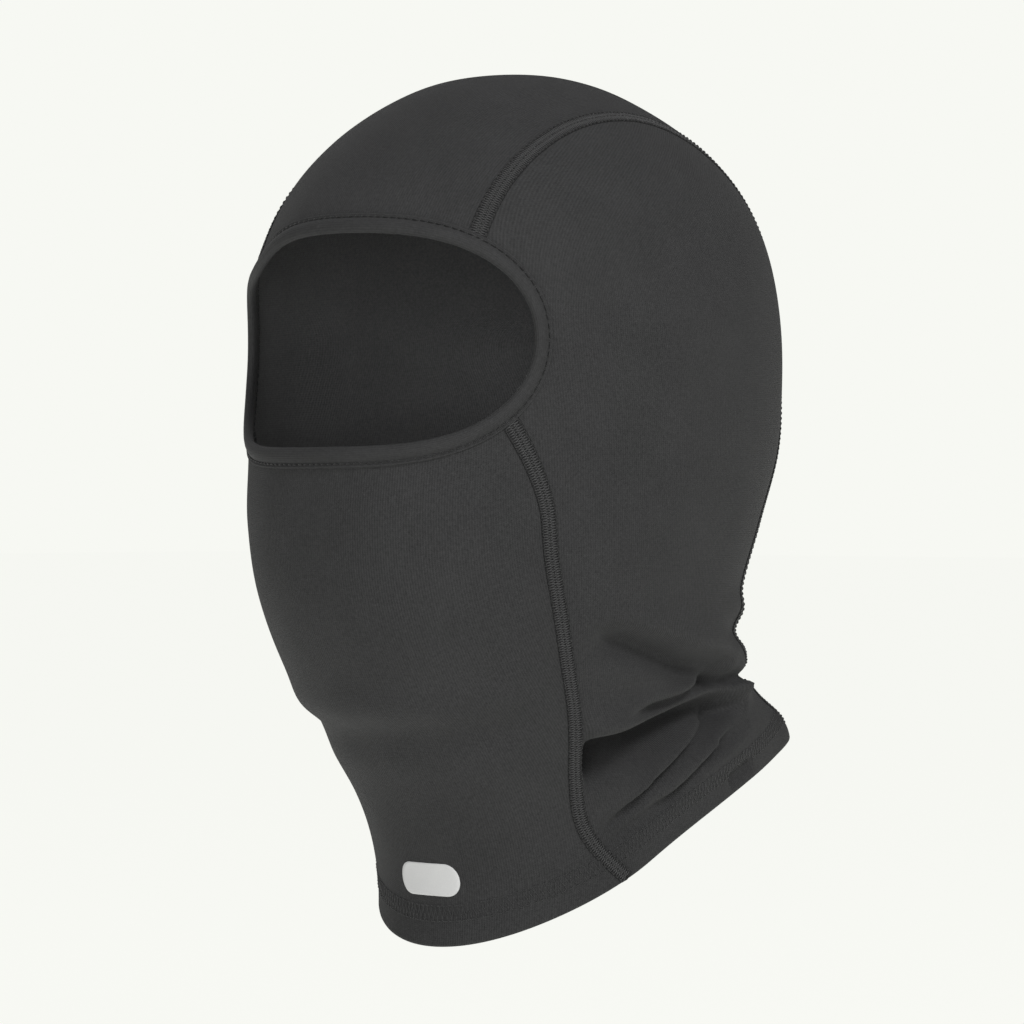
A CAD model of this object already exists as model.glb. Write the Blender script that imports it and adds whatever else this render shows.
import math

import bmesh
import bpy
import numpy as np
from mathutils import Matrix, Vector


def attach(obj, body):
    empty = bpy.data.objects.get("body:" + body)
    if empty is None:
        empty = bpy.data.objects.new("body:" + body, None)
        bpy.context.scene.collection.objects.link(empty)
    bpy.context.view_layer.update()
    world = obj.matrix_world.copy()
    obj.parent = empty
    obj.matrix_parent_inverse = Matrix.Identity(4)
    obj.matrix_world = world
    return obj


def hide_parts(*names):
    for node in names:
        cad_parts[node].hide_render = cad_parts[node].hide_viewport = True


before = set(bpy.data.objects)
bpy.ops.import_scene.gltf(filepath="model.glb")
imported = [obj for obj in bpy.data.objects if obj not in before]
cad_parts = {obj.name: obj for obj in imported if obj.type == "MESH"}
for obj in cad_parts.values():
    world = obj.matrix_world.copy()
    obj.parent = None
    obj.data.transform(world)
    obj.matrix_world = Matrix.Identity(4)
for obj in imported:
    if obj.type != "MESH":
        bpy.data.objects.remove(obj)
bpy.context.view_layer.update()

# A knitted balaclava, filled out as on a head. Shapes are worked out in millimetres, in the CAD
# model's frame, and turned into metres when a mesh is made. +Z up, face towards -Y, left is +X.
MM = 0.001

cloth = 0.9
top_height = 120.0
top_y = 2.5
# height, front y, back y, half width, y of the widest point, roundness in front and behind
sections = np.array([
    (119.4, -9.5, 15, 11.5, 3, 2.0, 2.0),
    (117, -24.5, 30, 22.5, 3, 2.0, 2.0),
    (110, -44, 49, 37.0, 4, 2.0, 2.0),
    (95, -67, 73.5, 55.5, 6, 2.05, 2.05),
    (70, -89, 91, 71.0, 8, 2.15, 2.15),
    (45, -98, 97, 77.0, 8, 2.2, 2.2),
    (20, -98, 99, 78.5, 8, 2.2, 2.2),
    (-5, -95, 98, 76.5, 6, 2.2, 2.2),
    (-30, -97, 89, 73.0, 2, 2.2, 2.2),
    (-55, -94, 83, 68.0, 0, 2.2, 2.2),
    (-80, -82, 90, 62.0, 0, 2.2, 2.3),
    (-100, -67, 113, 58.0, 4, 2.15, 2.6),
    (-120, -52, 122, 53.5, 8, 2.1, 2.7),
    (-145, -42, 124, 52.0, 10, 2.0, 2.7),
    (-180, -42, 124, 53.0, 12, 2.0, 2.7),
], float)
opening = dict(y=-97.0, z=28.5, depth=36.0, height=34.0)
crown_line = [(45.8, 130), (47, 95), (48, 75), (49.5, 30), (57, -35), (52, -66), (40, -85),
              (32, -108), (30, -135)]
front_line = [(-75, 15), (-65.5, 0), (-56, -22), (-52, -41), (-43, -66), (-32, -92),
              (-25, -112), (-14, -134), (1, -147), (22, -160)]
hem_line = [(-70, -186), (-43, -169), (16.5, -137.5), (100, -105), (140, -92)]
raw_edge = 2.5            # the panels' edge, inside the binding's fold
seam_width = 5.2
needle_rows = (8.0, 13.0)
head_middle = np.array([0.0, 8.0, 20.0])
lowest = -180.0            # the sections go on a little below the hem
highest = 119.0            # the last height with a section of its own, under the crown
far_out = 190.0            # further from the head's middle than any of the cloth
halvings = 34              # steps of a search between two points
line_points = 900          # points of a long line before it is spaced evenly


# ---------------------------------------------------------------- the hood's form
def spline(points, axis):
    """A smooth function through hand-placed points, of the coordinate axis (0 or 1)."""
    table = np.array(points, float)
    if axis == 1:
        table = table[:, ::-1]
    table = table[np.argsort(table[:, 0])]
    x, y = table[:, 0], table[:, 1]
    slope = np.gradient(y, x)

    def value(at):
        k = np.clip(np.searchsorted(x, at) - 1, 0, len(x) - 2)
        span = x[k + 1] - x[k]
        t = np.clip((at - x[k]) / span, -0.5, 1.5)
        a = (2 * t**3 - 3 * t**2 + 1) * y[k] + (t**3 - 2 * t**2 + t) * slope[k] * span
        return a + (3 * t**2 - 2 * t**3) * y[k + 1] + (t**3 - t**2) * slope[k + 1] * span
    return value


crown_half = spline(crown_line, 1)      # half spacing of the crown seams at a height
front_y = spline(front_line, 1)         # y of the front seams at a height
hem_height = spline(hem_line, 0)        # height of the hem at a y


def measures(z):
    """Front, back, half width, middle and the two roundnesses at heights z."""
    rows = sections
    depth = np.sqrt(np.maximum(top_height - np.asarray(z, float), 1e-9))
    steps = np.sqrt(top_height - rows[:, 0])
    steps = np.concatenate([[0.0], steps])
    values = np.vstack([[top_y, top_y, 0.0, top_y, 2.0, 2.0], rows[:, 1:]])
    slopes = np.gradient(values, steps, axis=0)
    k = np.clip(np.searchsorted(steps, depth) - 1, 0, len(steps) - 2)
    span = (steps[k + 1] - steps[k])[..., None]
    t = np.clip((depth - steps[k]) / (steps[k + 1] - steps[k]), 0, 1)[..., None]
    out = (2 * t**3 - 3 * t**2 + 1) * values[k] + (t**3 - 2 * t**2 + t) * slopes[k] * span
    out += (3 * t**2 - 2 * t**3) * values[k + 1] + (t**3 - t**2) * slopes[k + 1] * span
    return [out[..., i] for i in range(6)]


def outside(points):
    """Above 0 outside the hood's form, below 0 inside it."""
    x, y, z = points[..., 0], points[..., 1], points[..., 2]
    front, back, half, middle, round_front, round_back = measures(z)
    behind = y > middle
    power = np.where(behind, round_back, round_front)
    reach = np.maximum(np.where(behind, back - middle, middle - front), 1e-6)
    value = (np.abs(x) / np.maximum(half, 1e-6)) ** power + (np.abs(y - middle) / reach) ** power - 1
    return np.where(z >= top_height, 1.0 + z - top_height, value)


def project(points):
    """The points pushed out or in onto the form: level below the head's middle, radial above it."""
    points = np.asarray(points, float)
    centre = np.zeros_like(points)
    low = points[..., 2] < head_middle[2]
    middle = measures(np.clip(points[..., 2], lowest, highest))[3]
    centre[..., 1] = np.where(low, middle, head_middle[1])
    centre[..., 2] = np.where(low, points[..., 2], head_middle[2])
    ray = points - centre
    ray /= np.linalg.norm(ray, axis=-1, keepdims=True) + 1e-12
    near = np.zeros(points.shape[:-1])
    far = np.full(points.shape[:-1], far_out)
    for _ in range(halvings):
        mid = (near + far) / 2
        out = outside(centre + ray * mid[..., None]) > 0
        far = np.where(out, mid, far)
        near = np.where(out, near, mid)
    return centre + ray * near[..., None]


def outward(points):
    """Unit normals of the form at points on it."""
    step = 0.05
    grad = np.zeros_like(points)
    for axis in range(3):
        move = np.zeros(3)
        move[axis] = step
        grad[..., axis] = outside(points + move) - outside(points - move)
    grad /= np.linalg.norm(grad, axis=-1, keepdims=True) + 1e-12
    return grad


def side_x(y, z):
    """Half width of the form at a point of the side view, or nan outside it."""
    front, back, half, middle, round_front, round_back = measures(z)
    behind = y > middle
    power = np.where(behind, round_back, round_front)
    reach = np.where(behind, back - middle, middle - front)
    rest = 1 - np.abs((y - middle) / reach) ** power
    return half * np.where(rest >= 0, np.abs(rest), np.nan) ** (1 / power)


def even(points, count):
    """A line of points spaced evenly along it."""
    length = np.concatenate([[0], np.cumsum(np.linalg.norm(np.diff(points, axis=0), axis=1))])
    at = np.linspace(0, length[-1], count)
    return np.stack([np.interp(at, length, points[:, i]) for i in range(3)], axis=1)


def length_of(points):
    return float(np.linalg.norm(np.diff(points, axis=0), axis=1).sum())


def mirrored(points):
    return points * np.array([-1.0, 1.0, 1.0])


def in_opening(y, z, grow):
    return ((y - opening["y"]) / (opening["depth"] + grow)) ** 2 + (
        (z - opening["z"]) / (opening["height"] + grow)) ** 2 < 1


# ---------------------------------------------------------------- lines on the form
def rim_half(grow):
    """The opening's edge, or a line that far outside it: wearer's left, from brow to nose."""
    angle = np.linspace(math.pi / 2, -math.pi / 2, 6001)
    y = opening["y"] + (opening["depth"] + grow) * np.cos(angle)
    z = opening["z"] + (opening["height"] + grow) * np.sin(angle)
    x = side_x(y, z)
    good = np.isfinite(x)
    line = np.stack([x, y, z], axis=1)[good]
    for end in (0, -1):
        line[end, 0] = 0.0
    return line


def crown_seam_line(grow):
    """The left crown seam, from the opening over the head to the hem."""
    angle = np.linspace(math.radians(160), 0, line_points)
    near = np.zeros_like(angle)
    far = np.full_like(angle, far_out)

    def above(reach):
        z = head_middle[2] + reach * np.sin(angle)
        return np.stack([crown_half(z), head_middle[1] + reach * np.cos(angle), z], axis=1)
    for _ in range(40):
        mid = (near + far) / 2
        out = outside(above(mid)) > 0
        far = np.where(out, mid, far)
        near = np.where(out, near, mid)
    over = above(near)
    z = np.linspace(head_middle[2], crown_line[-1][1] - 5, line_points)[1:]
    near = measures(z)[3]
    far = near + 150
    for _ in range(40):
        mid = (near + far) / 2
        out = outside(np.stack([crown_half(z), mid, z], axis=1)) > 0
        far = np.where(out, mid, far)
        near = np.where(out, near, mid)
    line = np.vstack([over, np.stack([crown_half(z), near, z], axis=1)])
    return line[~in_opening(line[:, 1], line[:, 2], grow)]


def front_seam_line(grow):
    """The left front seam, from the opening down to the hem."""
    top, foot = front_line[0][1] - 1, front_line[-1][1] + 2
    z = np.linspace(top, foot, 2400)
    y = front_y(z)
    line = np.stack([side_x(y, z), y, z], axis=1)
    return line[~in_opening(y, z, grow) & np.isfinite(line[:, 0])]


def cut(line, rise):
    """The line down to where it crosses the hem, or the height above the hem."""
    over = line[:, 2] - hem_height(line[:, 1]) - rise
    last = np.argmax(over < 0)
    t = over[last - 1] / (over[last - 1] - over[last])
    return np.vstack([line[:last], line[last - 1] + t * (line[last] - line[last - 1])])


def angle_of(point):
    """Where a point is round its section, from 0 at the back by the left to pi in front."""
    front, back, half, middle, round_front, round_back = measures(point[2])
    behind = point[1] > middle
    power = round_back if behind else round_front
    reach = back - middle if behind else middle - front
    along = abs(point[1] - middle) / reach
    across = min(abs(point[0]) / half, 1.0)
    return math.atan2(math.copysign(across ** (power / 2), point[0]),
                      math.copysign(along ** (power / 2), point[1] - middle))


def level_line(angle, rise):
    """Points at a height above the hem, at angles round the sections."""
    z = np.full(len(angle), -120.0)
    along, across = np.cos(angle), np.sin(angle)
    for _ in range(80):
        front, back, half, middle, round_front, round_back = measures(z)
        power = np.where(along > 0, round_back, round_front)
        reach = np.where(along > 0, back - middle, middle - front)
        y = middle + reach * np.sign(along) * np.abs(along) ** (2 / power)
        x = half * np.sign(across) * np.abs(across) ** (2 / power)
        z = z + 0.5 * (hem_height(y) + rise - z)
    return np.stack([x, y, z], axis=1)


def hem_arc(rise, start, end, count):
    """The hem, or a line at a height above it, from one point to another."""
    first, last = angle_of(start), angle_of(end)
    if first > 0 and last < 0 and start[1] < 0:
        last += 2 * math.pi
    dense = level_line(np.linspace(first, last, 4 * count), rise)
    return even(dense, count)


# ---------------------------------------------------------------- the cloth's folds
# Height (below 0 a valley), width, and the line it follows. The cloth is looked up with its x made
# positive, so both sides have the folds; the right side's are a little lower and further forward.
folds = [
    (2.6, 7, [(63, -28, -60), (66, -9, -64), (63, 21, -69), (50, 60, -73), (40, 72, -73)]),
    (-7.5, 5.0, [(62, -36, -66), (64, -14, -69), (64, -1, -72), (63, 13, -76), (60, 29, -78),
                 (54, 50, -80)]),
    (-6.5, 2.2, [(58, -18, -93), (60, 4, -90), (60, 16, -88), (58, 37, -83), (44, 72, -81),
                 (32, 82, -80)]),
    (7.0, 5.6, [(54, -38, -97), (56, -22, -96), (59, 5, -93), (59, 31, -87), (54, 54, -85),
                (46, 68, -84)]),
    (-17.0, 7, [(48, -38, -118), (51, -25, -109), (57, -5, -102), (59, 18, -96),
                (57, 39, -91), (50, 60, -88)]),
    (-6.0, 2.2, [(49, -22, -134), (54, -1, -123), (55, 6, -117), (56, 21, -108),
                 (56, 43, -98), (51, 62, -88)]),
    (3.2, 3.6, [(53, -8, -122), (56, 10, -112), (57, 26, -102), (56, 42, -93)]),
    (-5.5, 2.1, [(50, -20, -138), (55, 8, -125), (55, 23, -118), (56, 35, -110),
                 (54, 50, -102), (50, 64, -94)]),
    (2.0, 3.6, [(54, 10, -121), (56, 28, -112), (55, 44, -103)]),
    (-2.5, 2.6, [(53, 50, -117), (51, 66, -111)]),
    (1.5, 4, [(61, 28, -54), (52, 56, -58), (32, 75, -60), (0, 83, -60)]),
    (-2.0, 4, [(60, 30, -64), (51, 58, -67), (32, 76, -67), (0, 85, -67)]),
    (2.2, 5, [(24, 83, -75), (0, 88, -75), (-24, 83, -75)]),
    (-3.0, 4, [(30, 84, -84), (0, 91, -84), (-30, 84, -84)]),
    (1.5, 8, [(45, -55, -86), (25, -72, -89), (0, -78, -90)]),
    (-2.5, 8, [(43, -50, -95), (24, -63, -99), (0, -68, -100)]),
]


def rounded(points, count=28):
    """A smooth line through hand-placed points."""
    points = np.array(points, float)
    at = np.concatenate([[0], np.cumsum(np.linalg.norm(np.diff(points, axis=0), axis=1))])
    dense = np.linspace(0, at[-1], count)
    return np.stack([spline(list(zip(at, points[:, i])), 0)(dense) for i in range(3)], axis=1)


fold_lines = [(height, width, rounded(points)) for height, width, points in folds]


def smooth(t):
    t = np.clip(t, 0, 1)
    return t * t * (3 - 2 * t)


def relief(points):
    """How far the cloth stands out from the form at points on it: its folds and slight waves."""
    flat = points.reshape(-1, 3)
    x, y, z = flat[:, 0], flat[:, 1], flat[:, 2]
    right = smooth(-x / 35)
    place = np.stack([np.abs(x), y + 3 * right, z + 2.5 * right], axis=1)
    total = np.zeros(len(flat))
    behind_seam = smooth((y - front_y(z) - 1.5) / 5)
    for height, width, line in fold_lines:
        reach = 3 * width
        near = np.all((place > line.min(0) - reach) & (place < line.max(0) + reach), axis=1)
        if not near.any():
            continue
        spot = place[near]
        best = np.full(len(spot), 1e9)
        part = np.zeros(len(spot))
        for k in range(len(line) - 1):
            edge = line[k + 1] - line[k]
            t = np.clip(((spot - line[k]) @ edge) / (edge @ edge), 0, 1)
            gap = ((spot - line[k] - t[:, None] * edge) ** 2).sum(1)
            closer = gap < best
            best = np.where(closer, gap, best)
            part = np.where(closer, (k + t) / (len(line) - 1), part)
        fade = smooth(part / 0.25 + 0.05)
        if line[-1, 0] > 1:
            fade = fade * smooth((1 - part) / 0.15 + 0.2)
        in_front = line[:, 1].max() < -40
        held = 1.0 if in_front else behind_seam[near]
        fade = 1.0 if in_front else fade
        total[near] += height * np.exp(-best / width**2) * fade * held
    wave = np.sin(x / 15 + y / 23 + 1.0) * np.sin(z / 19 - y / 27)
    wave += 0.6 * np.sin(y / 11 - z / 31 + 2.0) * np.sin(x / 17 + z / 13)
    total += 0.22 * wave
    return total.reshape(points.shape[:-1])


# the cloth drawn a little aside: place, how far, and how wide an area
pulls = [((-42, -82, 57), (0.5, 0.0, -6.8), 24), ((34, 93, -105), (3.0, 3.2, 1.5), 10)]


def lift(points, height=0.0):
    """Points on the form moved out to the cloth's face, and a height beyond it."""
    cloth_points = points + outward(points) * (relief(points) + height)[..., None]
    for place, move, width in pulls:
        share = np.exp(-((points - np.array(place, float)) ** 2).sum(-1) / width**2)
        cloth_points = cloth_points + share[..., None] * np.array(move, float)
    return cloth_points


# ---------------------------------------------------------------- meshes
def add_mesh(name, verts, faces, uvs=None, smooth_faces=True):
    mesh = bpy.data.meshes.new(name)
    mesh.from_pydata((np.asarray(verts) * MM).tolist(), [], [tuple(f) for f in faces])
    if uvs is not None:
        layer = mesh.uv_layers.new(name="cloth_mm")
        corner = np.zeros(len(mesh.loops), int)
        mesh.loops.foreach_get("vertex_index", corner)
        layer.data.foreach_set("uv", np.asarray(uvs)[corner].ravel())
    mesh.polygons.foreach_set("use_smooth", [smooth_faces] * len(mesh.polygons))
    mesh.update()
    piece = bpy.data.objects.new(name, mesh)
    bpy.context.scene.collection.objects.link(piece)
    return piece


def grid_faces(rows, cols, start=0, flip=False, round_rows=False, round_cols=False):
    """Quads of a grid of vertices, closed round in either direction where asked."""
    faces = []
    for i in range(rows if round_rows else rows - 1):
        for j in range(cols if round_cols else cols - 1):
            down, across = (i + 1) % rows, (j + 1) % cols
            face = [start + i * cols + j, start + i * cols + across,
                    start + down * cols + across, start + down * cols + j]
            faces.append(face[::-1] if flip else face)
    return faces


def sheet_mesh(name, outer, inner, uvs):
    """A sheet with a thickness: two grids of points joined round their edges."""
    rows, cols = outer.shape[:2]
    back = rows * cols
    faces = grid_faces(rows, cols)
    faces += grid_faces(rows, cols, back, flip=True)
    rim = [(0, j) for j in range(cols - 1)]
    rim += [(i, cols - 1) for i in range(rows - 1)]
    rim += [(rows - 1, j) for j in range(cols - 1, 0, -1)]
    rim += [(i, 0) for i in range(rows - 1, 0, -1)]
    ring = [i * cols + j for i, j in rim]
    for k, a in enumerate(ring):
        b = ring[(k + 1) % len(ring)]
        faces.append([b, a, a + back, b + back])
    verts = np.concatenate([outer.reshape(-1, 3), inner.reshape(-1, 3)])
    coords = np.concatenate([uvs.reshape(-1, 2)] * 2)
    piece = add_mesh(name, verts, faces, coords)
    lining = np.zeros(len(faces), int)
    lining[len(grid_faces(rows, cols)):] = 1
    piece.data.polygons.foreach_set("material_index", lining)
    return piece


def turned_outward(piece):
    """Makes the faces of a closed mesh point out of it."""
    edit = bmesh.new()
    edit.from_mesh(piece.data)
    bmesh.ops.recalc_face_normals(edit, faces=edit.faces)
    edit.to_mesh(piece.data)
    edit.free()
    return piece


# ---------------------------------------------------------------- panels
# rows and columns of the panels' grids, and heights over the hem of the rows in its turning
crown_grid = (300, 72)
front_grid = (130, 96)
side_grid = (250, 140)
hem_rises = [14.6, 13.2, 11.8, 10.4, 9.0, 7.6, 6.2, 4.8, 3.4, 2.1]
fold_radius = 0.95
band_top = 16.0
hem_clear = 0.35           # trims stop this far over the hem


def spread(left, right, top, bottom, rows, cols):
    """A grid on the form between four lines, its rows from the left line to the right one."""
    u = np.linspace(0, 1, rows)[:, None, None]
    margin = 0.0012
    v = np.linspace(margin, 1 - margin, cols)[None, :, None]
    left, right = even(left, rows)[:, None], even(right, rows)[:, None]
    top, bottom = top[None], bottom[None]
    points = (1 - v) * left + v * right
    points = points + (1 - u) * (top - (1 - v) * top[:, :1] - v * top[:, -1:])
    points = points + u * (bottom - (1 - v) * bottom[:, :1] - v * bottom[:, -1:])
    return project(points)


def cloth_uvs(base):
    """Millimetres across from the middle column, and along it."""
    step = np.linalg.norm(np.diff(base, axis=1), axis=2)
    across = np.concatenate([np.zeros((len(base), 1)), np.cumsum(step, axis=1)], axis=1)
    middle = base.shape[1] // 2
    across = across - across[:, middle:middle + 1]
    down = np.linalg.norm(np.diff(base[:, middle], axis=0), axis=1)
    along = np.concatenate([[0], np.cumsum(down)])[:, None] + np.zeros_like(across)
    return np.stack([across, along], axis=2)


def side_uvs(base):
    """Across and along the knit's columns on the sides, in millimetres. The columns climb level
    with the front seam, then lean back over the head."""
    z = base[..., 2]
    front, back, half, middle, _, _ = measures(z)
    around = np.hypot(base[..., 0] - half, base[..., 1] - middle) * np.sign(base[..., 1] - middle)
    levels = np.linspace(-180, 119.4, 500)
    width = measures(levels)[2]
    climb = np.concatenate([[0], np.cumsum(np.hypot(np.diff(levels), np.diff(width)))])
    lean = -0.25 + 1.5 * smooth((levels - 15) / 70)
    drift = np.concatenate([[0], np.cumsum(lean[1:] * np.diff(climb))])
    square = 1 / np.hypot(1, np.interp(z, levels, lean))
    across = (around - np.interp(z, levels, drift)) * square
    return np.stack([across, -np.interp(z, levels, climb)], axis=2)


def panel(name, left_full, right_full, left_lead, right_lead, top, grid, uv_maker, mirror=False):
    """A cloth panel: its face down to the hem, the turned edge, and the leaf sewn up inside.

    The full lines run on to the hem; the leads come before them, along the opening."""
    rows, cols = grid

    def row_at(rise):
        a, b = cut(left_full, rise)[-1], cut(right_full, rise)[-1]
        return hem_arc(rise, a, b, cols)
    left = np.vstack([left_lead, cut(left_full, band_top)])
    right = np.vstack([right_lead, cut(right_full, band_top)])
    body = spread(left, right, top, row_at(band_top), rows, cols)
    outer_rows, inner_rows = list(body), list(body)
    outer_height = [0.0] * rows
    inner_height = [-cloth] * rows
    flat_rows = hem_rises + [fold_radius]
    for rise in flat_rows:
        line = row_at(rise)
        outer_rows.append(line)
        inner_rows.append(line)
        outer_height.append(0.0)
        inner_height.append(-cloth)
    small = fold_radius - cloth
    for turn in np.linspace(0, math.pi, 8)[1:-1]:
        outer_rows.append(row_at(fold_radius * (1 - math.sin(turn))))
        inner_rows.append(row_at(fold_radius - small * math.sin(turn)))
        outer_height.append(-fold_radius + fold_radius * math.cos(turn))
        inner_height.append(-fold_radius + small * math.cos(turn))
    for rise in reversed(flat_rows):
        line = row_at(rise)
        outer_rows.append(line)
        inner_rows.append(line)
        outer_height.append(-2 * fold_radius)
        inner_height.append(-fold_radius - small)
    outer_base, inner_base = np.array(outer_rows), np.array(inner_rows)
    outer = lift(outer_base, np.array(outer_height)[:, None])
    inner = lift(inner_base, np.array(inner_height)[:, None])
    uvs = uv_maker(outer_base)
    if mirror:
        outer_base = mirrored(outer_base)
        outer = lift(outer_base, np.array(outer_height)[:, None])
        inner = lift(mirrored(inner_base), np.array(inner_height)[:, None])
    return turned_outward(sheet_mesh(name, outer, inner, uvs))


rim = rim_half(raw_edge)
crown_seam = crown_seam_line(raw_edge)
front_seam = front_seam_line(raw_edge)
crown_corner = int(np.argmin(np.linalg.norm(rim - crown_seam[0], axis=1)))
front_corner = int(np.argmin(np.linalg.norm(rim - front_seam[0], axis=1)))
brow = rim[:crown_corner + 1]
cheek = rim[crown_corner:front_corner + 1]
nose = rim[front_corner:]

crown_top = even(np.vstack([brow[::-1], mirrored(brow)[1:]]), crown_grid[1])
front_top = even(np.vstack([nose, mirrored(nose)[::-1][1:]]), front_grid[1])
nothing = np.zeros((0, 3))
crown = panel("crown_cloth", crown_seam, mirrored(crown_seam), nothing, nothing, crown_top,
              crown_grid, cloth_uvs)
front = panel("front_cloth", front_seam, mirrored(front_seam), nothing, nothing, front_top,
              front_grid, cloth_uvs)
apex = np.repeat(cheek[:1], side_grid[1], axis=0)
sides = []
for name, mirror in (("side_cloth_left", False), ("side_cloth_right", True)):
    sides.append(panel(name, front_seam, crown_seam, cheek[:-1], nothing, apex,
                       side_grid, side_uvs, mirror))


# ---------------------------------------------------------------- trims that follow a line
class Path:
    """A line on the form, with its directions, for laying trims along it."""

    def __init__(self, line, closed=False, step=1.0, outward_from=None):
        if closed:
            line = np.vstack([line, line[:1]])
        self.length = length_of(line)
        self.closed = closed
        count = int(self.length / step) + 1
        self.at = np.linspace(0, self.length, count)
        self.points = project(even(line, count))
        ahead = np.gradient(self.points, axis=0)
        if closed:
            ahead[0] = ahead[-1] = self.points[1] - self.points[-2]
        ahead /= np.linalg.norm(ahead, axis=1, keepdims=True)
        self.side = np.cross(outward(self.points), ahead)
        self.side /= np.linalg.norm(self.side, axis=1, keepdims=True)
        if outward_from is not None:
            away = ((self.points - outward_from) * self.side).sum(1).mean()
            self.side *= math.copysign(1, away)

    def place(self, along, aside, height):
        """Points on the trim: a distance along the line, to its side, and over the cloth."""
        along = np.mod(along, self.length) if self.closed else along
        base = np.stack([np.interp(along, self.at, self.points[:, i]) for i in range(3)], axis=-1)
        side = np.stack([np.interp(along, self.at, self.side[:, i]) for i in range(3)], axis=-1)
        base = base + side * np.asarray(aside)[..., None]
        base[..., 2] = np.maximum(base[..., 2], hem_height(base[..., 1]) + hem_clear)
        return lift(project(base), height)


def band(name, path, profile, step=1.0, widths=None):
    """A closed profile of (aside, height) swept along a path; widths scale it along the way."""
    count = int(path.length / step) + (0 if path.closed else 1)
    along = np.linspace(0, path.length, count, endpoint=not path.closed)
    aside = np.array([p[0] for p in profile], float)
    height = np.array([p[1] for p in profile], float)
    scale = np.ones(count) if widths is None else widths(along / path.length)
    grid = path.place(along[:, None] + 0 * aside, aside * scale[:, None], height + 0 * along[:, None])
    rows, cols = grid.shape[:2]
    faces = grid_faces(rows, cols, round_rows=path.closed, round_cols=True)
    if not path.closed:
        faces.append(list(range(cols)))
        faces.append([(rows - 1) * cols + j for j in range(cols)][::-1])
    run = np.cumsum(np.hypot(np.diff(aside, append=aside[:1]), np.diff(height, append=height[:1])))
    uvs = np.stack([run + 0 * along[:, None], along[:, None] + 0 * run], axis=2).reshape(-1, 2)
    return turned_outward(add_mesh(name, grid.reshape(-1, 3), faces, uvs))


def tubes(points_list, radius, sides=6):
    """Vertices, faces and UVs of round threads along lists of points."""
    verts, faces, uvs = [], [], []
    total = 0
    turn = np.linspace(0, 2 * math.pi, sides, endpoint=False)
    for points in points_list:
        ahead = np.gradient(points, axis=0)
        ahead /= np.linalg.norm(ahead, axis=1, keepdims=True) + 1e-9
        up = outward(points)
        across = np.cross(up, ahead)
        across /= np.linalg.norm(across, axis=1, keepdims=True) + 1e-9
        up = np.cross(ahead, across)
        ring = across[:, None] * np.cos(turn)[None, :, None] + up[:, None] * np.sin(turn)[None, :, None]
        grid = points[:, None] + radius * ring
        rows = len(points)
        verts.append(grid.reshape(-1, 3))
        faces += grid_faces(rows, sides, total, round_cols=True)
        faces.append([total + j for j in range(sides)][::-1])
        faces.append([total + (rows - 1) * sides + j for j in range(sides)])
        along = np.concatenate([[0], np.cumsum(np.linalg.norm(np.diff(points, axis=0), axis=1))])
        uvs.append(np.stack([turn * radius + 0 * along[:, None], along[:, None] + 0 * turn],
                            axis=2).reshape(-1, 2))
        total += rows * sides
    return np.concatenate(verts), faces, np.concatenate(uvs)


def dashes(path, aside, height, pitch, gap, start=0.0, stop=None, dip=0.35, widths=None):
    """A row of short stitches, each sinking into the cloth at its ends."""
    stop = path.length if stop is None else stop
    count = int((stop - start) / pitch)
    bend = np.linspace(0, 1, 7)
    along = start + (np.arange(count)[:, None] + bend * (1 - gap)) * (stop - start) / count
    sink = height - dip * np.abs(2 * bend - 1) ** 3
    scale = 1.0 if widths is None else widths(along / path.length)
    grid = path.place(along, aside * scale + 0 * along, sink + 0 * along)
    return list(grid)


def zigzag(path, half, height, pitch, phase, start, stop, dip=0.2, widths=None):
    """A thread that crosses from edge to edge, with rounded turns."""
    count = int((stop - start) / pitch * 10)
    along = np.linspace(start, stop, count)
    turn = 2 * math.pi * (along - start) / pitch + phase
    wave = np.arcsin(0.96 * np.sin(turn)) / math.asin(0.96)
    run = along + 0.12 * pitch * np.sin(2 * turn)
    run = np.clip(run, start, stop)
    scale = 1.0 if widths is None else widths(run / path.length)
    return path.place(run, half * wave * scale, height - dip * wave**2)


def threads(name, lines, radius):
    return turned_outward(add_mesh(name, *tubes(lines, radius)))


cover_thread = 0.13        # radius, and length of one zigzag, of the crossing threads
cover_pitch = 1.7
inner_pitch = 2.0
needle_thread = 0.27       # radius, stitch length and gap of the dark rows
needle_pitch = 1.9
needle_gap = 0.45
row_inset = 0.45           # from the seam's edge to its outer needle rows
seam_end = 1.0             # the threads stop this far before the hem


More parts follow.
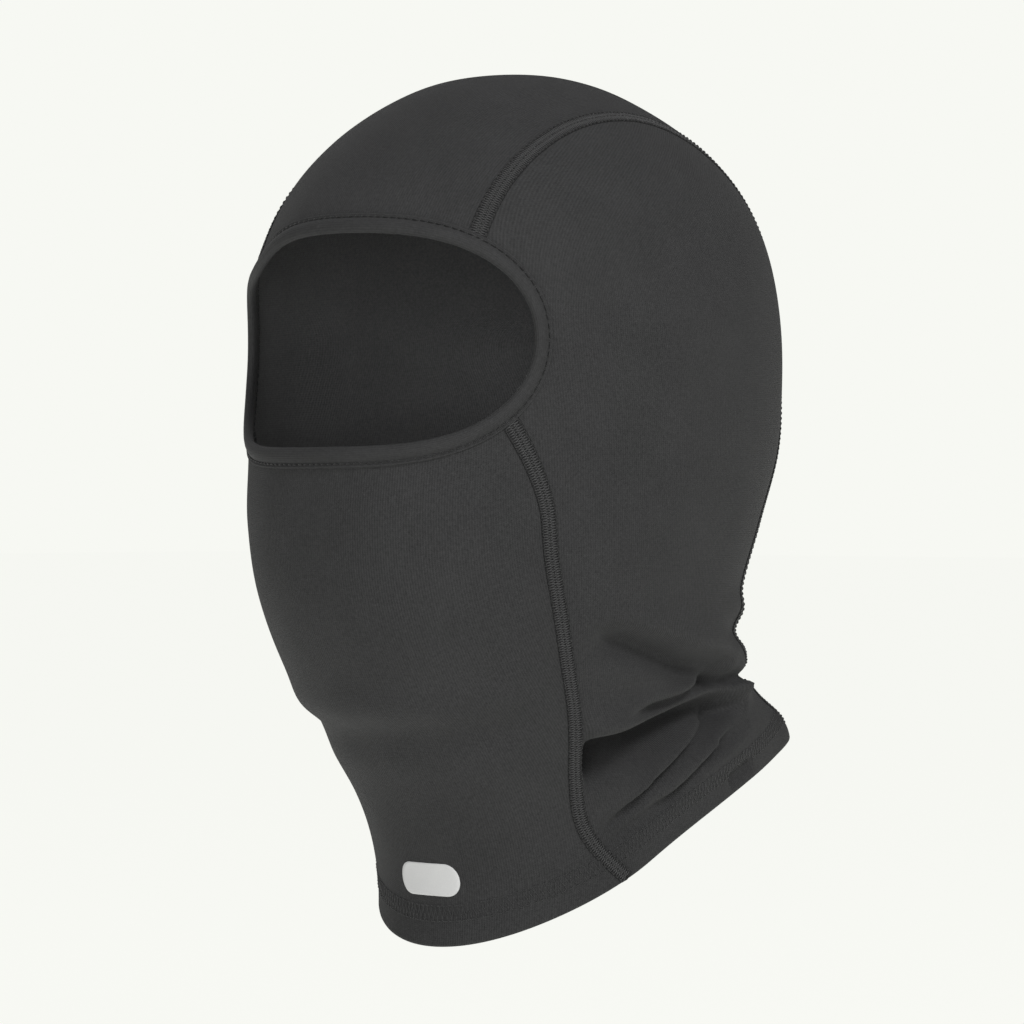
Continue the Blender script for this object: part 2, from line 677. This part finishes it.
def flat_seam(name, line, mirror):
    """A flat-locked seam: a low ribbon of cover threads, and crossing threads, outside and in."""
    if mirror:
        line = mirrored(line)
    path = Path(line)
    half = seam_width / 2
    edge_row = half - row_inset

    def flare(part):
        """The seam is stretched wider where it starts, at the opening."""
        return 1 + 0.22 * np.exp(-part * path.length / 45)
    ribbon = [(-half, -0.05), (-half + 0.1, 0.14), (-edge_row, 0.06), (-half + 0.9, 0.26), (-1.2, 0.32),
              (-0.4, 0.22), (0, 0.04), (0.4, 0.22), (1.2, 0.32), (half - 0.9, 0.26),
              (edge_row, 0.06), (half - 0.1, 0.14), (half, -0.05)]
    inside = [(w, -cloth - h) for w, h in ribbon[::-1]]
    tape = band(name + "_cover", path, ribbon, widths=flare)
    tape_inside = band(name + "_cover_inside", path, inside)
    stop = path.length - seam_end
    lines = []
    for phase in (0.0, math.pi):
        lines.append(zigzag(path, half - 0.2, 0.36, cover_pitch, phase, 0.0, stop, widths=flare))
    lines.append(zigzag(path, half - 0.3, -cloth - 0.4, inner_pitch, 0.4, 0.0, stop, dip=-0.2))
    cover = threads(name + "_threads", lines, cover_thread)
    rows = []
    for aside in (-edge_row, 0.0, edge_row):
        rows += dashes(path, aside, 0.43, needle_pitch, needle_gap, stop=stop, widths=flare)
    needle = threads(name + "_needle_rows", rows, needle_thread)
    return [tape, tape_inside, cover, needle]


seam_start = 4.2           # outside the opening's edge, under the binding
seam_foot = 0.4            # over the hem
crown_path_line = cut(crown_seam_line(seam_start), seam_foot)
front_path_line = cut(front_seam_line(seam_start), seam_foot)
seams = {}
for side, mirror in (("left", False), ("right", True)):
    seams[side + "_crown_seam"] = flat_seam(side + "_crown_flatlock", crown_path_line, mirror)
    seams[side + "_front_seam"] = flat_seam(side + "_front_flatlock", front_path_line, mirror)

# The binding: cloth tape folded over the raw edge of the opening, its two leaves sewn down.
edge = rim_half(0.0)
edge_loop = np.vstack([edge[:-1], mirrored(edge)[::-1][:-1]])
opening_middle = np.array([0.0, opening["y"], opening["z"]])
binding_step = 0.8
edge_path = Path(edge_loop, closed=True, step=binding_step, outward_from=opening_middle)


def binding_scale(part):
    """The tape is drawn narrower round the two outer corners of the opening."""
    return 1 - 0.17 * np.abs(np.sin(2 * math.pi * part)) ** 3


# (from the opening's edge, height over the cloth), round the folded tape and back inside it
binding_profile = [
    (6.8, 0.12), (6.8, 0.45), (6.6, 0.66), (6.25, 0.66), (5.9, 0.4), (5.6, 0.18), (5.3, 0.22),
    (4.9, 0.6), (4.3, 0.98), (3.5, 1.28), (2.6, 1.4), (1.7, 1.34), (0.9, 1.05), (0.3, 0.55),
    (0.0, 0.0), (0.0, -0.5), (0.3, -1.05), (0.9, -1.45), (1.8, -1.7), (3.2, -1.8), (4.6, -1.75),
    (5.3, -1.55), (5.6, -1.5), (6.0, -1.65), (6.5, -1.6), (6.8, -1.3), (6.8, -0.98),
    (4.5, -0.98), (2.3, -0.98), (2.05, -0.45), (2.3, 0.06), (4.5, 0.08)]
binding = band("binding_tape", edge_path, binding_profile, step=binding_step, widths=binding_scale)
groove = 5.6               # where the stitches sink the tape, from the opening's edge
binding_pitch = 2.5
stitch_share = 0.74        # of the pitch, the rest is the gap
stitch_line = []
for height, dip in ((0.5, 0.45), (-1.7, -0.3)):
    count = int(edge_path.length / binding_pitch)
    bend = np.linspace(0, 1, 7)
    along = (np.arange(count)[:, None] + bend * stitch_share) * edge_path.length / count
    scale = binding_scale(along / edge_path.length)
    sink = height - dip * np.abs(2 * bend - 1) ** 3
    stitch_line += list(edge_path.place(along, groove * scale, sink + 0 * along))
binding_stitch = threads("binding_stitches", stitch_line, 0.26)

# The hem's cover stitch: two needle rows outside with a light thread crossing between them.
round_angle = np.linspace(0, 2 * math.pi, 1600, endpoint=False)
hem_path = Path(level_line(round_angle, sum(needle_rows) / 2), closed=True)
half_hem = (needle_rows[1] - needle_rows[0]) / 2
hem_lines = []
for aside in (-half_hem, half_hem):
    hem_lines += dashes(hem_path, aside, 0.2, 2.4, 0.28)
hem_lines.append(zigzag(hem_path, half_hem, 0.1, 1.8, 0.0, 0.0, hem_path.length, dip=0.0))
for phase in (0.0, math.pi):
    hem_lines.append(zigzag(hem_path, half_hem + 0.3, -2 * fold_radius - 0.15, 2.4, phase,
                            0.0, hem_path.length, dip=0.0))
hem_stitch = threads("hem_cover_stitches", hem_lines, 0.14)


# ---------------------------------------------------------------- the mark and the label
def pill_outline(length, height, radius, count):
    """Even points round a rectangle with rounded corners, from its middle."""
    x, y = length / 2 - radius, height / 2 - radius
    corners = [(x, y, 0), (-x, y, 90), (-x, -y, 180), (x, -y, 270)]
    points = []
    for x, y, start in corners:
        for turn in np.radians(np.linspace(start, start + 90, 12)):
            points.append((x + radius * math.cos(turn), y + radius * math.sin(turn), 0))
    points.append(points[0])
    return even(np.array(points), count + 1)[:-1, :2]


def badge(name, centre, outline, lower, upper, bevel):
    """A thin plate with an outline that follows the cloth, between two heights over it."""
    centre = project(np.array(centre, float))
    normal = outward(centre[None])[0]
    across = np.cross(np.array([0.0, 0.0, 1.0]), normal)
    across /= np.linalg.norm(across)
    up = np.cross(normal, across)
    rings = []
    shrink = 1 - bevel / np.abs(outline).max()
    for scale, height in [(s, upper) for s in np.linspace(0, shrink, 10)[1:]] + [
            (1.0, upper - bevel), (1.0, lower)] + [(s, lower) for s in np.linspace(1, 0, 10)[1:-1]]:
        flat = outline * scale
        base = centre + flat[:, :1] * across + flat[:, 1:] * up
        rings.append(lift(project(base), np.full(len(flat), height)))
    grid = np.array(rings)
    rows, cols = grid.shape[:2]
    faces = grid_faces(rows, cols, round_cols=True)
    verts = list(grid.reshape(-1, 3))
    for row, height in ((0, upper), (rows - 1, lower)):
        verts.append(lift(centre[None], np.array([height]))[0])
        tip = len(verts) - 1
        for j in range(cols):
            faces.append([tip, row * cols + j, row * cols + (j + 1) % cols])
    verts = np.array(verts)
    uvs = np.stack([(verts - centre) @ across, (verts - centre) @ up], axis=1)
    return turned_outward(add_mesh(name, verts, faces, uvs))


outline_points = 96
mark_length, mark_height = 26, 11
mark_outline = pill_outline(mark_length, mark_height, 5.4, outline_points)
mark = badge("reflective_tab", (0, -42, -146), mark_outline, 0.02, 0.2, 0.08)

label_width, label_drop = 22, 30
label_foot = -105.0 + needle_rows[1]
label_middle = (0, 106, label_foot + label_drop / 2)
label_outline = pill_outline(label_width, label_drop, 1.2, outline_points)
label = badge("blank_label", label_middle, label_outline, -cloth - 0.3, -cloth - 0.02, 0.05)


# ---------------------------------------------------------------- materials
class Nodes:
    """Short calls for building a material's node tree."""

    def __init__(self, name, roughness, **values):
        self.material = bpy.data.materials.new(name)
        self.material.use_nodes = True
        self.tree = self.material.node_tree
        self.shader = self.tree.nodes["Principled BSDF"]
        self.shader.inputs["Roughness"].default_value = roughness
        for key, value in values.items():
            self.shader.inputs[key.replace("_", " ")].default_value = value

    def new(self, kind, **inputs):
        node = self.tree.nodes.new("ShaderNode" + kind)
        for key, value in inputs.items():
            self.set(node.inputs[key.replace("_", " ")], value)
        return node

    def set(self, socket, value):
        if isinstance(value, bpy.types.NodeSocket):
            self.tree.links.new(value, socket)
        else:
            socket.default_value = value

    def math(self, operation, first, second=0.0):
        node = self.tree.nodes.new("ShaderNodeMath")
        node.operation = operation
        self.set(node.inputs[0], first)
        self.set(node.inputs[1], second)
        return node.outputs[0]

    def total(self, *parts):
        """A sum of (socket, weight) pairs."""
        value = 0.0
        for socket, weight in parts:
            value = self.math("ADD", self.math("MULTIPLY", socket, weight), value)
        return value

    def wave(self, across, period, shift=0.0):
        """0 to 1 and back over each period."""
        turn = self.math("ADD", self.math("MULTIPLY", across, 2 * math.pi / period), shift)
        return self.math("ADD", self.math("MULTIPLY", self.math("COSINE", turn), 0.5), 0.5)

    def cloth_place(self):
        node = self.tree.nodes.new("ShaderNodeUVMap")
        node.uv_map = "cloth_mm"
        parts = self.new("SeparateXYZ", Vector=node.outputs[0])
        return parts.outputs[0], parts.outputs[1]

    def noise(self, scale, detail=2.0):
        place = self.new("TexCoord").outputs["Object"]
        return self.new("TexNoise", Vector=place, Scale=scale, Detail=detail).outputs["Fac"]

    def shade(self, amount, low, high):
        """The surface colour, between two colours."""
        mix = self.tree.nodes.new("ShaderNodeMix")
        mix.data_type = "RGBA"
        self.set(mix.inputs["Factor"], amount)
        mix.inputs["A"].default_value = (*low, 1)
        mix.inputs["B"].default_value = (*high, 1)
        self.tree.links.new(mix.outputs["Result"], self.shader.inputs["Base Color"])

    def bump(self, height, depth_mm):
        node = self.new("Bump", Height=height, Distance=depth_mm * MM, Strength=1.0)
        self.tree.links.new(node.outputs[0], self.shader.inputs["Normal"])


def knit(name, dark, light, wale, course, depth, roughness, sheen):
    """A knitted cloth: columns of V-shaped loops, with a fine uneven mix of fibres."""
    nodes = Nodes(name, roughness, Specular_IOR_Level=0.25, Sheen_Weight=sheen, Sheen_Roughness=0.4)
    across, along = nodes.cloth_place()
    drift = nodes.total((nodes.noise(60.0, 1.0), 0.5))
    across = nodes.math("ADD", across, drift)
    columns = nodes.wave(across, wale)
    lean = nodes.math("MULTIPLY", columns, 1.9)
    rows = nodes.wave(along, course, lean)
    fibre = nodes.noise(2600.0, 2.0)
    heather = nodes.noise(1100.0, 3.0)
    cloud = nodes.noise(45.0, 2.0)
    nodes.bump(nodes.total((columns, 0.65), (rows, 0.35), (fibre, 0.35)), depth)
    mixed = nodes.total((columns, 0.26), (rows, 0.14), (heather, 1.1), (fibre, 0.6), (cloud, 0.4))
    nodes.shade(nodes.math("SUBTRACT", mixed, 0.75), dark, light)
    return nodes.material


def thread_material(name, dark, light, roughness):
    """Twisted thread: fine slanting plies."""
    nodes = Nodes(name, roughness, Specular_IOR_Level=0.35, Sheen_Weight=0.15)
    across, along = nodes.cloth_place()
    plies = nodes.wave(nodes.math("ADD", along, across), 0.35)
    fibre = nodes.noise(3000.0, 2.0)
    nodes.bump(nodes.total((plies, 0.7), (fibre, 0.4)), 0.04)
    nodes.shade(nodes.total((plies, 0.5), (fibre, 0.6), (nodes.noise(300.0), 0.2)), dark, light)
    return nodes.material


def film_material(name):
    """Silver-grey reflective film over the cloth's texture, with tiny beads."""
    nodes = Nodes(name, 0.5, Metallic=0.0, Specular_IOR_Level=0.5)
    across, along = nodes.cloth_place()
    beads = nodes.noise(4200.0, 1.0)
    weave = nodes.total((nodes.wave(across, wale), 0.5), (nodes.wave(along, 0.6), 0.3), (beads, 0.5))
    nodes.bump(weave, 0.03)
    nodes.shade(nodes.total((beads, 0.7), (nodes.noise(120.0), 0.4)), (0.53, 0.53, 0.535),
                (0.68, 0.68, 0.685))
    return nodes.material


def tape_material(name):
    """Satin label tape: fine crosswise ribs."""
    nodes = Nodes(name, 0.5, Specular_IOR_Level=0.4, Sheen_Weight=0.1)
    across, along = nodes.cloth_place()
    ribs = nodes.wave(along, 0.3)
    nodes.bump(nodes.total((ribs, 0.6), (nodes.noise(2500.0), 0.3)), 0.03)
    nodes.shade(nodes.total((ribs, 0.4), (nodes.noise(400.0), 0.5)), (0.030, 0.030, 0.031),
                (0.045, 0.045, 0.047))
    return nodes.material


wale, course = 0.87, 0.62          # width and height of one loop of the cloth
tape_wale, tape_course = 0.7, 0.55
cover_wale, cover_course = 0.5, 0.45
jersey = knit("charcoal_jersey", (0.018, 0.018, 0.0185), (0.046, 0.046, 0.047),
              wale, course, 0.14, 0.85, 0.04)
jersey_inside = knit("brushed_inside", (0.064, 0.064, 0.065), (0.132, 0.132, 0.134),
                     wale, course, 0.10, 0.9, 0.04)
binding_knit = knit("binding_jersey", (0.019, 0.019, 0.0195), (0.042, 0.042, 0.043),
                    tape_wale, tape_course, 0.08, 0.75, 0.05)
cover_knit = knit("seam_cover_threads", (0.008, 0.008, 0.0085), (0.020, 0.020, 0.0205),
                  cover_wale, cover_course, 0.1, 0.85, 0.03)
seam_thread = thread_material("seam_thread", (0.027, 0.027, 0.028), (0.062, 0.062, 0.063), 0.6)
stitch_thread = thread_material("dark_thread", (0.005, 0.005, 0.005), (0.013, 0.013, 0.0135), 0.6)
hem_thread = thread_material("hem_thread", (0.015, 0.015, 0.0155), (0.036, 0.036, 0.037), 0.7)
film = film_material("reflective_film")
label_tape = tape_material("label_tape")


def dress(piece, material, slot, *nodes):
    piece.data.materials.append(material)
    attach(piece, "root")
    if nodes:
        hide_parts(*nodes)


for piece, node in ((crown, "crown_panel"), (front, "front_panel"),
                    (sides[0], "left_side_panel"), (sides[1], "right_side_panel")):
    dress(piece, jersey, "jersey", node)
    piece.data.materials.append(jersey_inside)
# flat sizes in metres: the cut blank of each panel, its hem turning included
for node, pieces in seams.items():
    for piece in pieces[:2]:
        dress(piece, cover_knit, "thread", node)
    dress(pieces[2], seam_thread, "thread", node)
    dress(pieces[3], stitch_thread, "thread", node)
dress(binding, binding_knit, "binding", "face_binding")
dress(binding_stitch, stitch_thread, "thread", "face_binding_stitch")
dress(hem_stitch, hem_thread, "thread", "hem_stitch")
dress(mark, film, "reflective_film", "reflective_mark")
dress(label, label_tape, "label_tape", "care_label")


# ---------------------------------------------------------------- camera, floor and light
target = Vector((0.0, 0.0, -0.026))
view_angle = math.radians(41)
view_distance = 1.3
camera_data = bpy.data.cameras.new("camera")
camera_data.lens = 136.4
camera_data.sensor_width = 36.0
camera = bpy.data.objects.new("camera", camera_data)
camera.location = target + view_distance * Vector((math.sin(view_angle), -math.cos(view_angle), 0.0))
camera.rotation_euler = (math.pi / 2, 0.0, view_angle)
bpy.context.scene.collection.objects.link(camera)
bpy.context.scene.camera = camera

backdrop = (0.930, 0.939, 0.896)   # as the camera sees it, behind and under the hood
ambient = 0.17                     # white light from all round
floor_glow = 0.978                 # the lit floor then matches the backdrop
world = bpy.data.worlds.new("studio")
world.use_nodes = True
world_nodes = world.node_tree
seen = world_nodes.nodes["Background"]
seen.inputs["Color"].default_value = (*backdrop, 1)
soft = world_nodes.nodes.new("ShaderNodeBackground")
soft.inputs["Color"].default_value = (1, 1, 1, 1)
soft.inputs["Strength"].default_value = ambient
ray = world_nodes.nodes.new("ShaderNodeLightPath")
both = world_nodes.nodes.new("ShaderNodeMixShader")
world_nodes.links.new(ray.outputs["Is Camera Ray"], both.inputs["Fac"])
world_nodes.links.new(soft.outputs[0], both.inputs[1])
world_nodes.links.new(seen.outputs[0], both.inputs[2])
world_nodes.links.new(both.outputs[0], world_nodes.nodes["World Output"].inputs["Surface"])
bpy.context.scene.world = world
bpy.context.scene.view_settings.view_transform = "Standard"

floor_size = 30.0
floor = add_mesh("floor", np.array([(-1, -1, 0), (1, -1, 0), (1, 1, 0), (-1, 1, 0)]) * floor_size / 2 / MM,
                 [(0, 1, 2, 3)])
floor.location.z = -0.25
ground = Nodes("pale_floor", 0.9, Specular_IOR_Level=0.0)
ground.shader.inputs["Base Color"].default_value = (0.06, 0.06, 0.058, 1)
ground.shader.inputs["Emission Color"].default_value = (*backdrop, 1)
ground.shader.inputs["Emission Strength"].default_value = floor_glow
floor.data.materials.append(ground.material)


def area_light(name, place, aim, size, power):
    data = bpy.data.lights.new(name, "AREA")
    data.size = size
    data.energy = power
    light = bpy.data.objects.new(name, data)
    light.location = place
    light.rotation_euler = (Vector(aim) - Vector(place)).to_track_quat("-Z", "Y").to_euler()
    bpy.context.scene.collection.objects.link(light)
    return light


area_light("front", (0.80, -1.20, 0.06), (0.0, 0.0, 0.0), 0.5, 6.6)
area_light("side", (1.30, -0.35, 1.15), (0.0, 0.0, -0.04), 0.5, 13.0)
area_light("top", (0.1, -0.3, 1.5), (0.0, 0.0, -0.02), 0.8, 4.0)
